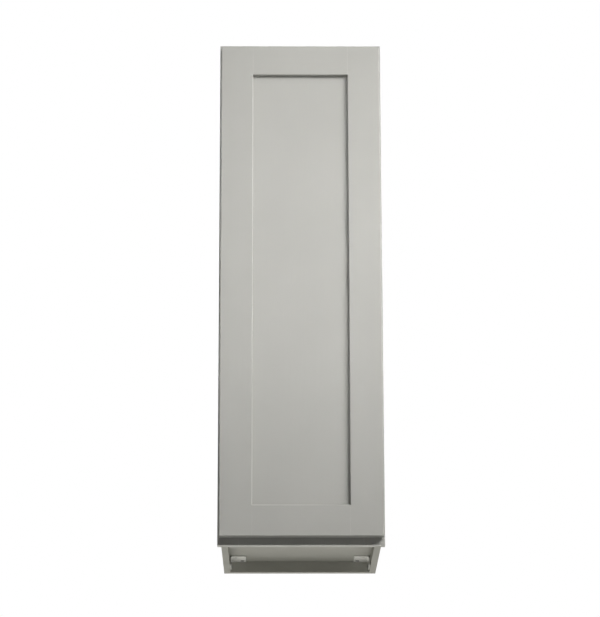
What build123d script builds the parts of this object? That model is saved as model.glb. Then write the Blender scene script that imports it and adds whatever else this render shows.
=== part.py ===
from build123d import *
import os
from math import atan2, degrees, hypot

# A narrow wall-hung pantry cabinet: a plywood case behind a face frame, closed by one framed door
# that covers almost the whole front and turns on two concealed linkage hinges at its left side.
# Millimetres. X to the right, Y towards the wall, Z up.

# ---------------------------------------------------------------- driving sizes
WIDTH = 304.8
HEIGHT = 965.2
DEPTH = 304.8                # wall to the front of the face frame

FRAME_THICK = 19.05
FRAME_STILE = 38.1
FRAME_RAIL = 38.1
FRAME_LIP = 7.1              # the face frame stands this far past each side panel
FRAME_TENON = 12.0
TENON_THICK = 6.35
TENON_SHOULDER = 6.0         # wood left above and below a tenon
FRAME_EASE = 0.8

SIDE_THICK = 12.0
DECK_THICK = 12.0            # top and bottom panels
DECK_RECESS = 20.8           # how far they are set in from the ends of the side panels
BACK_THICK = 5.0
HANG_RAIL_THICK = 12.0
HANG_RAIL_HEIGHT = 76.2
HOUSING = 6.0                # depth of every groove in the case
FIT = 0.1                    # play of a glued panel in its groove

DOOR_THICK = 19.0
DOOR_GAP = 2.5               # door back to face frame
DOOR_SIDE_REVEAL = 2.85
DOOR_BOTTOM_REVEAL = 13.4
DOOR_TOP_REVEAL = 8.2
DOOR_STILE = 60.2
DOOR_RAIL = 57.4
DOOR_EASE = 1.4              # rounding of the inner edges
DOOR_OUTER_EASE = 1.5
DOOR_PANEL_THICK = 6.4
DOOR_PANEL_RECESS = 9.4      # panel face behind the frame face
DOOR_GROOVE = 10.0
PANEL_EXPANSION = 1.5        # room for the panel to swell at the bottom of its grooves
PANEL_PLAY = 0.05
BUMPER_RADIUS = 4.0
BUMPER_CLEAR = 0.2
BUMPER_INSET = 14.0

SHELF_THICK = 16.0
SHELF_END_CLEAR = 2.0
SHELF_BACK_CLEAR = 2.0
SHELF_SETBACK = 8.0          # shelf front behind the face frame
SHELF_SEAT = 0.2
SHELF_EASE = 0.8
PIN_ROW_PITCH = 32.0
PIN_ROW_START = 180.0        # first hole above the lower end
PIN_ROW_END = 170.0          # least distance from the last hole to the upper end
PIN_COLUMN_INSET = 37.0      # from the shelf's front and back edges
LOWER_SHELF_ROW = 4
UPPER_SHELF_ROW = 13
PIN_RADIUS = 2.5
PIN_CLEAR = 0.05
PIN_DEPTH = 9.0
PIN_HOLE_EXTRA = 1.0
PIN_COLLAR_RADIUS = 4.5
PIN_COLLAR_THICK = 1.2
PIN_LEDGE_LENGTH = 12.0
PIN_LEDGE_THICK = 1.8

BRACKET_LEG = 30.0
BRACKET_END_GAP = 2.8        # from the drop leg's end up to the side panel's lower edge
BRACKET_WIDTH = 62.0
BRACKET_THICK = 1.6
BRACKET_BEND = 6.0
BRACKET_SIDE_GAP = 0.4       # between the drop leg and the side panel
BRACKET_BACK_GAP = 1.0
BRACKET_FRONT_INSET = 13.0   # front holes from the strip's front end
BRACKET_REAR_INSET = 17.0    # rear holes from its rear end
BRACKET_SCREW_EDGE = 7.0     # the flat leg's screw from its inner end
BRACKET_SPARE_EDGE = 18.0    # the flat leg's open hole from its inner end
BRACKET_SCREW_RISE = 5.0     # from the drop leg's end
CUT_PAST = 1.0               # how far a cut runs past the face it leaves
SCREW_RADIUS = 1.9
PLATE_HOLE_CLEAR = 0.2       # round a screw where it passes through steel
SCREW_HEAD_RADIUS = 3.8
SCREW_HEAD_HEIGHT = 2.2
FLAT_HEAD_HEIGHT = 0.8
ARM_HEAD_HEIGHT = 1.1
SCREW_LENGTH = 9.0
SCREW_PLAY = 0.05

WALL_HOLE_RADIUS = 2.5
WALL_HOLE_SPACING = 203.2
WALL_HOLE_EDGE = 48.0        # from the cabinet's ends to the wall screws

HINGE_INSET = 92.0           # door ends to the hinge centres
CUP_RADIUS = 17.5
CUP_OFFSET = 10.25           # cup centre, behind the stile's inner edge
CUP_DEPTH = 12.0
CUP_WALL = 1.5
CUP_SLOT_CLEAR = 0.7         # between the arm's cheeks and the slot they fold into
CUP_BORE_CLEAR = 0.1
CUP_FLANGE_THICK = 1.0
CUP_RIM_NOTCH = 1.2          # the slot's ends are cut lower, where the links pass over them
CUP_PIN_SEAT = 2.0           # how far the pivot pins go into the cup's metal
CUP_FLANGE_LENGTH = 57.0
CUP_FLANGE_WIDTH = 17.0
CUP_FLANGE_SHIFT = 2.75
CUP_SCREW_SPACING = 45.0
CUP_SCREW_SHIFT = 5.5        # screws lie nearer the opening than the cup centre
# Pivots, measured from the stile's inner front corner: to the right, and back from the frame's face.
ARM_PIVOT_INNER = (2.95, -6.5)
CUP_PIVOT_INNER = (-20.4, -7.3)
ARM_PIVOT_OUTER = (17.0, 1.5)
CUP_PIVOT_OUTER = (-20.3, -5.5)
OPEN_PIVOT_CLEAR = 0.5       # the outer link's cup end runs loose
PIVOT_RADIUS = 0.9
PIVOT_CLEAR = 0.05
PIN_SEAT_CLEAR = 0.01        # a pin pressed into a cheek
EYE_WALL = 1.0               # metal round a pivot pin
LINK_HALF_THICK = 0.75
LINK_WIDTH = 3.2
LINK_GAP = 0.2               # between the two links, and between a link and a cheek
CHEEK_THICK = 1.0
ARM_WEB_THICK = 1.2
ARM_REACH = 15.0             # the arm's foot, back from the frame's face
ARM_SCREW_BACK = 11.0
ARM_WEB_SETBACK = 1.0        # the web's front behind the base's
CHEEK_FOOT = 4.0
CHEEK_ROUND = 0.3
NOSE_RADIUS = 1.7
BASE_THICK = 1.5
BASE_HALF_HEIGHT = 22.0
BASE_FRONT = 1.8
BASE_BACK = 17.5
BASE_ROUND = 2.4
BASE_SCREW_SPACING = 32.0
SPRING_RADIUS = 2.0
SPRING_WIRE = 0.42
SPRING_TURNS = 4
SPRING_PITCH = 0.756

# ---------------------------------------------------------------- worked-out planes
FRONT = -DEPTH
FRAME_BACK = FRONT + FRAME_THICK
HALF = WIDTH / 2
CASE_HALF = HALF - FRAME_LIP
CASE_INNER = CASE_HALF - SIDE_THICK
OPEN_HALF = HALF - FRAME_STILE
BACK_FACE = -(HANG_RAIL_THICK + BACK_THICK)
DOOR_BACK = FRONT - DOOR_GAP
DOOR_FRONT = DOOR_BACK - DOOR_THICK
DOOR_HALF = HALF - DOOR_SIDE_REVEAL
DOOR_LOW = DOOR_BOTTOM_REVEAL
DOOR_HIGH = HEIGHT - DOOR_TOP_REVEAL
PANEL_FRONT = DOOR_FRONT + DOOR_PANEL_RECESS
PANEL_BACK = PANEL_FRONT + DOOR_PANEL_THICK
HINGE_HEIGHTS = (DOOR_LOW + HINGE_INSET, DOOR_HIGH - HINGE_INSET)
CUP_CENTRE = -OPEN_HALF - CUP_OFFSET
SHELF_FRONT = FRAME_BACK + SHELF_SETBACK
SHELF_BACK = BACK_FACE - SHELF_BACK_CLEAR
PIN_COLUMNS = (SHELF_FRONT + PIN_COLUMN_INSET, SHELF_BACK - PIN_COLUMN_INSET)
CHEEK_LOW = LINK_GAP / 2 + LINK_WIDTH + LINK_GAP
CHEEK_HIGH = CHEEK_LOW + CHEEK_THICK
CUP_CHEEK_GAP = 2 * (CHEEK_HIGH + CUP_SLOT_CLEAR)
EYE_RADIUS = PIVOT_RADIUS + EYE_WALL
SCREW_HOLE = SCREW_RADIUS + SCREW_PLAY
PLATE_HOLE = SCREW_RADIUS + PLATE_HOLE_CLEAR
PIN_SEAT = PIVOT_RADIUS + PIN_SEAT_CLEAR
PIN_ROW_COUNT = int((HEIGHT - PIN_ROW_START - PIN_ROW_END) / PIN_ROW_PITCH) + 1
BRACKET_DROP = DECK_RECESS - BRACKET_END_GAP
ORIGIN_HEIGHT = HANG_RAIL_HEIGHT / 2     # the origin is the middle of the lower hanging rail's wall face


def block(x0, x1, y0, y1, z0, z1):
    """A box between two corners."""
    middle = Pos((x0 + x1) / 2, (y0 + y1) / 2, (z0 + z1) / 2)
    return middle * Box(abs(x1 - x0), abs(y1 - y0), abs(z1 - z0))


def rod_z(x, y, z0, z1, radius):
    """A round bar standing on z0."""
    return Pos(x, y, (z0 + z1) / 2) * Cylinder(radius, z1 - z0)


def rod_y(x, z, y0, y1, radius):
    """A round bar along Y."""
    return Pos(x, (y0 + y1) / 2, z) * Rot(90, 0, 0) * Cylinder(radius, y1 - y0)


def rod_x(y, z, x0, x1, radius):
    """A round bar along X."""
    return Pos((x0 + x1) / 2, y, z) * Rot(0, 90, 0) * Cylinder(radius, abs(x1 - x0))


def save(node, *solids):
    """Writes one sub-part, with the origin moved to the middle of the lower hanging rail."""
    shape = solids[0] if len(solids) == 1 else Compound(children=list(solids))
    export_step(Pos(0, 0, -ORIGIN_HEIGHT) * shape, f"parts/{node}.step")


def edges_along(shape, axis, x=None, y=None, z=None, reach=0.01):
    """Edges parallel to an axis whose middle lies at the given places."""
    chosen = []
    for edge in shape.edges().filter_by(axis):
        middle = edge.center()
        wanted = ((x, middle.X), (y, middle.Y), (z, middle.Z))
        if all(place is None or abs(place - found) < reach for place, found in wanted):
            chosen.append(edge)
    return chosen


# ---------------------------------------------------------------- case
def pin_height(row):
    """Centre height of a row of shelf-pin holes."""
    return PIN_ROW_START + row * PIN_ROW_PITCH


def wall_holes():
    """Clearance for the four wall screws, through the back panel and the hanging rails."""
    holes = []
    for x in (-WALL_HOLE_SPACING / 2, WALL_HOLE_SPACING / 2):
        for z in (WALL_HOLE_EDGE, HEIGHT - WALL_HOLE_EDGE):
            holes.append(rod_y(x, z, BACK_FACE - CUT_PAST, CUT_PAST, WALL_HOLE_RADIUS))
    return holes


def side_panel(side):
    """A full-height side with housings for the decks and the back, and two rows of shelf-pin holes."""
    inner = side * CASE_INNER
    outer = side * CASE_HALF
    floor = side * (CASE_INNER + HOUSING)
    panel = block(inner, outer, FRAME_BACK - HOUSING + FIT, 0, 0, HEIGHT)
    for z in (DECK_RECESS, HEIGHT - DECK_RECESS - DECK_THICK):
        panel -= block(inner, floor, FRAME_BACK, BACK_FACE, z - FIT, z + DECK_THICK + FIT)
    panel -= block(inner, floor, BACK_FACE - FIT, -HANG_RAIL_THICK + FIT, 0, HEIGHT)
    hole_end = side * (CASE_INNER + PIN_DEPTH + PIN_HOLE_EXTRA)
    for row in range(PIN_ROW_COUNT):
        for y in PIN_COLUMNS:
            panel -= rod_x(y, pin_height(row), inner, hole_end, PIN_RADIUS + PIN_CLEAR)
    return panel


def deck(z):
    """The top or the bottom panel, held in the side panels' housings."""
    end = CASE_INNER + HOUSING - FIT
    return block(-end, end, FRAME_BACK, BACK_FACE - FIT, z, z + DECK_THICK)


def back_panel():
    """The thin back, from end to end of the case, in grooves ahead of the hanging rails."""
    end = CASE_INNER + HOUSING - FIT
    panel = block(-end, end, BACK_FACE, -HANG_RAIL_THICK, 0, HEIGHT)
    for hole in wall_holes():
        panel -= hole
    return panel


def hanging_rail(z):
    """A rail behind the back panel that carries the wall screws."""
    rail = block(-CASE_INNER, CASE_INNER, -HANG_RAIL_THICK, 0, z, z + HANG_RAIL_HEIGHT)
    for hole in wall_holes():
        rail -= hole
    return rail


os.makedirs("parts", exist_ok=True)
save("side_panel_left", side_panel(-1))
save("side_panel_right", side_panel(1))
save("bottom_panel", deck(DECK_RECESS))
save("top_panel", deck(HEIGHT - DECK_RECESS - DECK_THICK))
save("back_panel", back_panel())
save("hanging_rail_lower", hanging_rail(0))
save("hanging_rail_upper", hanging_rail(HEIGHT - HANG_RAIL_HEIGHT))


# ---------------------------------------------------------------- face frame
FRAME_MIDDLE = FRONT + FRAME_THICK / 2


def frame_tenon(z, extra=0.0):
    """The tenon stock of a rail, right across the frame."""
    end = OPEN_HALF + FRAME_TENON + extra
    half = TENON_THICK / 2 + extra
    low = z + TENON_SHOULDER - extra
    high = z + FRAME_RAIL - TENON_SHOULDER + extra
    return block(-end, end, FRAME_MIDDLE - half, FRAME_MIDDLE + half, low, high)


def frame_stile(side):
    """An upright of the face frame, mortised for the rails and grooved for the side panel."""
    outer = side * HALF
    stile = block(side * OPEN_HALF, outer, FRONT, FRAME_BACK, 0, HEIGHT)
    stile = fillet(edges_along(stile, Axis.Z, x=outer, y=FRONT), FRAME_EASE)
    groove = (side * (CASE_INNER - FIT), side * (CASE_HALF + FIT))
    stile -= block(*groove, FRAME_BACK - HOUSING, FRAME_BACK, 0, HEIGHT)
    for z in (0, HEIGHT - FRAME_RAIL):
        stile -= frame_tenon(z, FIT)
    if side < 0:
        for z in base_screw_heights():
            end = -OPEN_HALF - SCREW_LENGTH - CUT_PAST
            stile -= rod_x(BASE_SCREW_Y, z, -OPEN_HALF, end, SCREW_HOLE)
    return stile


def frame_rail(z):
    """A cross rail of the face frame with a tenon at each end."""
    rail = block(-OPEN_HALF, OPEN_HALF, FRONT, FRAME_BACK, z, z + FRAME_RAIL)
    return rail + frame_tenon(z)


def base_screw_heights():
    """Heights of the screws that hold the hinge bases to the stile."""
    offsets = (-BASE_SCREW_SPACING / 2, BASE_SCREW_SPACING / 2)
    return [z + offset for z in HINGE_HEIGHTS for offset in offsets]


BASE_SCREW_Y = FRONT + (BASE_FRONT + BASE_BACK) / 2
save("frame_stile_left", frame_stile(-1))
save("frame_stile_right", frame_stile(1))
save("frame_rail_bottom", frame_rail(0))
save("frame_rail_top", frame_rail(HEIGHT - FRAME_RAIL))


# ---------------------------------------------------------------- door
def panel_groove(x0, x1, z0, z1):
    """The stock removed for the door panel and the rails' stub tenons."""
    return block(x0, x1, PANEL_FRONT - PANEL_PLAY, PANEL_BACK + PANEL_PLAY, z0, z1)


def eased_strip(edge, side, z0, z1):
    """The stock that rounds a stile's inner front edge, between the rails."""
    corner = block(edge, edge + side * DOOR_EASE, DOOR_FRONT, DOOR_FRONT + DOOR_EASE, z0, z1)
    return corner - rod_z(edge + side * DOOR_EASE, DOOR_FRONT + DOOR_EASE, z0, z1, DOOR_EASE)


def door_stile(side):
    """An upright of the door, eased along its front edges and grooved along its inner edge."""
    outer = side * DOOR_HALF
    inner = side * (DOOR_HALF - DOOR_STILE)
    stile = block(inner, outer, DOOR_FRONT, DOOR_BACK, DOOR_LOW, DOOR_HIGH)
    rim = edges_along(stile, Axis.Z, x=outer, y=DOOR_FRONT)
    for z in (DOOR_LOW, DOOR_HIGH):
        rim += edges_along(stile, Axis.X, y=DOOR_FRONT, z=z)
    stile = fillet(rim, DOOR_OUTER_EASE)
    stile -= eased_strip(inner, side, DOOR_LOW + DOOR_RAIL, DOOR_HIGH - DOOR_RAIL)
    stile -= panel_groove(inner, inner + side * DOOR_GROOVE, DOOR_LOW, DOOR_HIGH)
    if side < 0:
        for z in HINGE_HEIGHTS:
            bore = CUP_RADIUS + CUP_BORE_CLEAR
            stile -= rod_y(CUP_CENTRE, z, DOOR_BACK - CUP_DEPTH, DOOR_BACK, bore)
            for offset in (-CUP_SCREW_SPACING / 2, CUP_SCREW_SPACING / 2):
                end = DOOR_BACK - SCREW_LENGTH - CUT_PAST
                stile -= rod_y(CUP_CENTRE + CUP_SCREW_SHIFT, z + offset, end, DOOR_BACK, SCREW_HOLE)
    return stile


def door_rail(z, outer, inner):
    """A cross rail of the door, with a stub tenon at each end and a groove for the panel."""
    end = DOOR_HALF - DOOR_STILE
    rail = block(-end, end, DOOR_FRONT, DOOR_BACK, z, z + DOOR_RAIL)
    rail = fillet(edges_along(rail, Axis.X, y=DOOR_FRONT, z=inner), DOOR_EASE)
    rail = fillet(edges_along(rail, Axis.X, y=DOOR_FRONT, z=outer), DOOR_OUTER_EASE)
    tongue = end + DOOR_GROOVE - FIT
    rail += block(-tongue, tongue, PANEL_FRONT, PANEL_BACK, z, z + DOOR_RAIL)
    into = DOOR_GROOVE if outer > inner else -DOOR_GROOVE
    return rail - panel_groove(-tongue - CUT_PAST, tongue + CUT_PAST, inner, inner + into)


def door_panel():
    """The flat panel, free to move in its grooves."""
    reach = DOOR_GROOVE - PANEL_EXPANSION
    end = DOOR_HALF - DOOR_STILE + reach
    low = DOOR_LOW + DOOR_RAIL - reach
    high = DOOR_HIGH - DOOR_RAIL + reach
    return block(-end, end, PANEL_FRONT, PANEL_BACK, low, high)


def door_bumpers():
    """Two soft buttons on the door's back that meet the face frame."""
    x = DOOR_HALF - BUMPER_INSET
    heights = (DOOR_LOW + BUMPER_INSET, DOOR_HIGH - BUMPER_INSET)
    return [rod_y(x, z, DOOR_BACK, FRONT - BUMPER_CLEAR, BUMPER_RADIUS) for z in heights]


save("door_stile_left", door_stile(-1))
save("door_stile_right", door_stile(1))
save("door_rail_bottom", door_rail(DOOR_LOW, DOOR_LOW, DOOR_LOW + DOOR_RAIL))
save("door_rail_top", door_rail(DOOR_HIGH - DOOR_RAIL, DOOR_HIGH, DOOR_HIGH - DOOR_RAIL))
save("door_panel", door_panel())
save("door_bumpers", *door_bumpers())


# ---------------------------------------------------------------- shelves and their pins
def shelf(row):
    """A loose shelf that rests on four pins."""
    end = CASE_INNER - SHELF_END_CLEAR
    low = pin_height(row) + PIN_LEDGE_THICK / 2 + SHELF_SEAT
    board = block(-end, end, SHELF_FRONT, SHELF_BACK, low, low + SHELF_THICK)
    front = edges_along(board, Axis.X, y=SHELF_FRONT)
    return fillet(front, SHELF_EASE)


def shelf_pins(row):
    """Four spoon pins, each a peg with a collar and a flat ledge."""
    z = pin_height(row)
    pins = []
    for side in (-1, 1):
        for y in PIN_COLUMNS:
            wall = side * CASE_INNER
            face = side * (CASE_INNER - PIN_COLLAR_THICK)
            tip = side * (CASE_INNER - PIN_LEDGE_LENGTH)
            half = PIN_LEDGE_THICK / 2
            near = y - PIN_COLLAR_RADIUS
            far = y + PIN_COLLAR_RADIUS
            collar = rod_x(y, z - PIN_RADIUS, face, wall, PIN_COLLAR_RADIUS)
            collar -= block(tip, wall, near, far, z + half, z + PIN_COLLAR_RADIUS)
            ledge = block(tip, wall, near, far, z - half, z + half)
            peg = rod_x(y, z, wall, side * (CASE_INNER + PIN_DEPTH), PIN_RADIUS)
            pins.append(collar + ledge + peg)
    return pins


for name, row in (("lower", LOWER_SHELF_ROW), ("upper", UPPER_SHELF_ROW)):
    save(f"shelf_{name}", shelf(row))
    save(f"shelf_pins_{name}", *shelf_pins(row))


# ---------------------------------------------------------------- corner brackets under the bottom panel
BRACKET_OUTER = CASE_INNER - BRACKET_SIDE_GAP
BRACKET_TOP = DECK_RECESS
BRACKET_REAR = BACK_FACE - BRACKET_BACK_GAP
BRACKET_FRONT = BRACKET_REAR - BRACKET_WIDTH
BRACKET_FRONT_HOLE = BRACKET_FRONT + BRACKET_FRONT_INSET
BRACKET_REAR_HOLE = BRACKET_REAR - BRACKET_REAR_INSET
BRACKET_SCREW_X = BRACKET_OUTER - BRACKET_LEG + BRACKET_SCREW_EDGE
BRACKET_SPARE_X = BRACKET_OUTER - BRACKET_LEG + BRACKET_SPARE_EDGE
BRACKET_SCREW_Z = BRACKET_TOP - BRACKET_DROP + BRACKET_SCREW_RISE


def bracket(side):
    """A bent steel strip: one leg flat under the bottom panel, one down the side panel."""
    outer = side * BRACKET_OUTER
    inner = outer - side * BRACKET_THICK
    under = BRACKET_TOP - BRACKET_THICK
    ends = (BRACKET_FRONT, BRACKET_REAR)
    leg = block(outer, outer - side * BRACKET_LEG, *ends, under, BRACKET_TOP)
    drop = block(outer, inner, *ends, BRACKET_TOP - BRACKET_DROP, BRACKET_TOP)
    strip = leg + drop
    strip = fillet(edges_along(strip, Axis.Y, x=inner, z=under), BRACKET_BEND - BRACKET_THICK)
    strip = fillet(edges_along(strip, Axis.Y, x=outer, z=BRACKET_TOP), BRACKET_BEND)
    past_bend = outer - side * BRACKET_BEND
    for x, y in ((BRACKET_SCREW_X, BRACKET_REAR_HOLE), (BRACKET_SPARE_X, BRACKET_FRONT_HOLE)):
        strip -= rod_z(side * x, y, 0, BRACKET_TOP + CUT_PAST, PLATE_HOLE)
    for y in (BRACKET_FRONT_HOLE, BRACKET_REAR_HOLE):
        strip -= rod_x(y, BRACKET_SCREW_Z, past_bend, side * CASE_INNER, PLATE_HOLE)
    return strip


def bracket_screws():
    """Pan heads of the screws: one up into the bottom panel and two out into each side panel."""
    screws = []
    under = BRACKET_TOP - BRACKET_THICK
    low = under - SCREW_HEAD_HEIGHT
    for side in (-1, 1):
        face = side * (BRACKET_OUTER - BRACKET_THICK)
        crown = face - side * SCREW_HEAD_HEIGHT
        crown_end = 0 if side > 0 else -1
        upright = rod_z(side * BRACKET_SCREW_X, BRACKET_REAR_HOLE, low, under, SCREW_HEAD_RADIUS)
        rim = upright.faces().sort_by(Axis.Z)[0].edges()
        screws.append(fillet(rim, SCREW_HEAD_HEIGHT / 2))
        for y in (BRACKET_FRONT_HOLE, BRACKET_REAR_HOLE):
            sideways = rod_x(y, BRACKET_SCREW_Z, face, crown, SCREW_HEAD_RADIUS)
            rim = sideways.faces().sort_by(Axis.X)[crown_end].edges()
            screws.append(fillet(rim, SCREW_HEAD_HEIGHT / 2))
    return screws


for word, side in (("left", -1), ("right", 1)):
    save(f"corner_bracket_{word}", bracket(side))
save("bracket_screws", *bracket_screws())


# ---------------------------------------------------------------- concealed hinges
def at_frame(pivot):
    """A pivot's place in the cabinet, from its place beside the stile's inner front corner."""
    return (-OPEN_HALF + pivot[0], FRONT + pivot[1])


ARM_INNER = at_frame(ARM_PIVOT_INNER)
ARM_OUTER = at_frame(ARM_PIVOT_OUTER)
CUP_INNER = at_frame(CUP_PIVOT_INNER)
CUP_OUTER = at_frame(CUP_PIVOT_OUTER)
LINK_LOW = LINK_GAP / 2
LINK_HIGH = LINK_GAP / 2 + LINK_WIDTH


def link(start, finish, z0, z1, finish_clear):
    """A flat link with an eye at each end, its thickness in plan and its width along Z."""
    length = hypot(finish[0] - start[0], finish[1] - start[1])
    turn = degrees(atan2(finish[1] - start[1], finish[0] - start[0]))
    middle = Pos((start[0] + finish[0]) / 2, (start[1] + finish[1]) / 2, (z0 + z1) / 2)
    body = middle * Rot(0, 0, turn) * Box(length, 2 * LINK_HALF_THICK, z1 - z0)
    for pivot, clear in ((start, PIVOT_CLEAR), (finish, finish_clear)):
        body += rod_z(*pivot, z0, z1, EYE_RADIUS + clear - PIVOT_CLEAR)
    for pivot, clear in ((start, PIVOT_CLEAR), (finish, finish_clear)):
        body -= rod_z(*pivot, z0 - CUT_PAST, z1 + CUT_PAST, PIVOT_RADIUS + clear)
    return body


def hull(discs):
    """The plane shape stretched round some discs."""
    return make_hull([edge for disc in discs for edge in disc.edges()])


def arm_cheek(z0, z1):
    """A cheek of the arm: a narrow nose out to the inner pivot, and a wide ear out to the outer one."""
    left = -OPEN_HALF + BASE_THICK + CHEEK_ROUND
    front = FRONT + BASE_FRONT - CHEEK_ROUND
    heel = Pos(left, front) * Circle(CHEEK_ROUND)
    knee = Pos(left + CHEEK_FOOT, front) * Circle(CHEEK_ROUND)
    back = Pos(left, FRONT + ARM_REACH) * Circle(CHEEK_ROUND)
    toe = Pos(left + CHEEK_FOOT, FRONT + ARM_REACH) * Circle(CHEEK_ROUND)
    nose = hull([Pos(*ARM_INNER) * Circle(NOSE_RADIUS), heel, knee])
    ear = hull([Pos(*ARM_OUTER) * Circle(EYE_RADIUS), heel, back, toe])
    return Pos(0, 0, z0) * (extrude(nose, z1 - z0) + extrude(ear, z1 - z0))


def hinge_arm(height):
    """A pressed steel channel: a web screwed down on the base, and a cheek at each side."""
    web_face = -OPEN_HALF + BASE_THICK
    web_top = web_face + ARM_WEB_THICK
    front = FRONT + BASE_FRONT + ARM_WEB_SETBACK
    web = block(web_face, web_top, front, FRONT + ARM_REACH, -CHEEK_HIGH, CHEEK_HIGH)
    web -= rod_x(FRONT + ARM_SCREW_BACK, 0, web_face - CUT_PAST, web_top + CUT_PAST, PLATE_HOLE)
    arm = web + arm_cheek(CHEEK_LOW, CHEEK_HIGH) + arm_cheek(-CHEEK_HIGH, -CHEEK_LOW)
    reach = CHEEK_HIGH + CUT_PAST
    arm -= rod_z(*ARM_INNER, 0, reach, PIN_SEAT)
    arm -= rod_z(*ARM_OUTER, -reach, reach, PIN_SEAT)
    return Pos(0, 0, height) * arm


def hinge_base(height):
    """A steel plate on the stile's inner edge that the arm is screwed to."""
    inner = -OPEN_HALF
    outer = inner + BASE_THICK
    half = BASE_HALF_HEIGHT
    plate = block(inner, outer, FRONT + BASE_FRONT, FRONT + BASE_BACK, -half, half)
    plate = fillet(plate.edges().filter_by(Axis.X), BASE_ROUND)
    through = (inner - CUT_PAST, outer + CUT_PAST)
    for offset in (-BASE_SCREW_SPACING / 2, BASE_SCREW_SPACING / 2):
        plate -= rod_x(BASE_SCREW_Y, offset, *through, PLATE_HOLE)
    plate -= rod_x(FRONT + ARM_SCREW_BACK, 0, *through, SCREW_HOLE)
    return Pos(0, 0, height) * plate


def hinge_cup(height):
    """A die-cast cup let into the door, with a slot that the links fold into and a screw flange."""
    cup = rod_y(CUP_CENTRE, 0, DOOR_BACK - CUP_DEPTH, DOOR_BACK, CUP_RADIUS)
    flange_x = CUP_CENTRE + CUP_FLANGE_SHIFT
    width = CUP_FLANGE_WIDTH / 2
    length = CUP_FLANGE_LENGTH / 2
    top = DOOR_BACK + CUP_FLANGE_THICK
    flange = block(flange_x - width, flange_x + width, DOOR_BACK, top, -length, length)
    flange = fillet(flange.edges().filter_by(Axis.Y), CUP_FLANGE_WIDTH / 3)
    cup += flange
    half_gap = CUP_CHEEK_GAP / 2
    ends = (CUP_CENTRE - length, CUP_CENTRE + length)
    slot = block(*ends, DOOR_BACK - CUP_DEPTH, top, -half_gap, half_gap)
    room = rod_y(CUP_CENTRE, 0, DOOR_BACK - CUP_DEPTH + CUP_WALL, DOOR_BACK, CUP_RADIUS - CUP_WALL)
    cup -= slot & room
    cup -= block(*ends, DOOR_BACK - CUP_RIM_NOTCH, top, -half_gap, half_gap)
    cup -= rod_z(*CUP_INNER, 0, half_gap + CUP_PIN_SEAT, PIN_SEAT)
    cup -= rod_z(*CUP_OUTER, -half_gap - CUP_PIN_SEAT, 0, PIN_SEAT)
    for offset in (-CUP_SCREW_SPACING / 2, CUP_SCREW_SPACING / 2):
        x = CUP_CENTRE + CUP_SCREW_SHIFT
        cup -= rod_y(x, offset, DOOR_BACK - CUT_PAST, top + CUT_PAST, PLATE_HOLE)
    return Pos(0, 0, height) * cup


def cup_pins(height):
    """The two pivot pins cast into the cup, one at each side of the slot."""
    reach = CUP_CHEEK_GAP / 2 + CUP_PIN_SEAT
    upper = rod_z(*CUP_INNER, height + LINK_LOW, height + reach, PIVOT_RADIUS)
    lower = rod_z(*CUP_OUTER, height - reach, height - LINK_LOW, PIVOT_RADIUS)
    return [upper, lower]


def arm_pins(height):
    """The two pins of the arm: a stub for the inner link and a full pin for the outer one."""
    stub = rod_z(*ARM_INNER, height + LINK_LOW, height + CHEEK_HIGH, PIVOT_RADIUS)
    full = rod_z(*ARM_OUTER, height - CHEEK_HIGH, height + CHEEK_HIGH, PIVOT_RADIUS)
    return [stub, full]


def closing_spring(height):
    """A torsion spring round the outer arm pin, with one leg back to the arm's web."""
    x, y = ARM_OUTER
    first = height + LINK_LOW + SPRING_WIRE
    coil = Pos(x, y, first) * Torus(SPRING_RADIUS, SPRING_WIRE)
    for turn in range(1, SPRING_TURNS):
        coil += Pos(x, y, first + turn * SPRING_PITCH) * Torus(SPRING_RADIUS, SPRING_WIRE)
    leg_end = -OPEN_HALF + BASE_THICK + ARM_WEB_THICK
    return coil + rod_x(y + SPRING_RADIUS, first, leg_end, x, SPRING_WIRE)


def inner_link(height):
    """The link on the front pivots, in the upper half of the slot."""
    return link(ARM_INNER, CUP_INNER, height + LINK_LOW, height + LINK_HIGH, PIVOT_CLEAR)


def outer_link(height):
    """The link on the back pivots, in the lower half of the slot, loose on the cup's pin."""
    return link(ARM_OUTER, CUP_OUTER, height - LINK_HIGH, height - LINK_LOW, OPEN_PIVOT_CLEAR)


for word, height in zip(("lower", "upper"), HINGE_HEIGHTS):
    save(f"hinge_cup_{word}", hinge_cup(height))
    save(f"hinge_cup_pins_{word}", *cup_pins(height))
    save(f"hinge_inner_link_{word}", inner_link(height))
    save(f"hinge_outer_link_{word}", outer_link(height))
    save(f"hinge_arm_{word}", hinge_arm(height))
    save(f"hinge_arm_pins_{word}", *arm_pins(height))
    save(f"hinge_spring_{word}", closing_spring(height))
    save(f"hinge_base_{word}", hinge_base(height))


# ---------------------------------------------------------------- hinge screws
def cup_screws():
    """Screws through the cups' flanges into the door, with flat heads."""
    screws = []
    head = DOOR_BACK + CUP_FLANGE_THICK
    for height in HINGE_HEIGHTS:
        for offset in (-CUP_SCREW_SPACING / 2, CUP_SCREW_SPACING / 2):
            x = CUP_CENTRE + CUP_SCREW_SHIFT
            z = height + offset
            shank = rod_y(x, z, DOOR_BACK - SCREW_LENGTH, head, SCREW_RADIUS)
            screws.append(shank + rod_y(x, z, head, head + FLAT_HEAD_HEIGHT, SCREW_HEAD_RADIUS))
    return screws


def base_screws():
    """Screws through the hinge bases into the stile's edge."""
    face = -OPEN_HALF + BASE_THICK
    screws = []
    for z in base_screw_heights():
        shank = rod_x(BASE_SCREW_Y, z, -OPEN_HALF - SCREW_LENGTH, face, SCREW_RADIUS)
        crown = face + SCREW_HEAD_HEIGHT
        screws.append(shank + rod_x(BASE_SCREW_Y, z, face, crown, SCREW_HEAD_RADIUS))
    return screws


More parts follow.
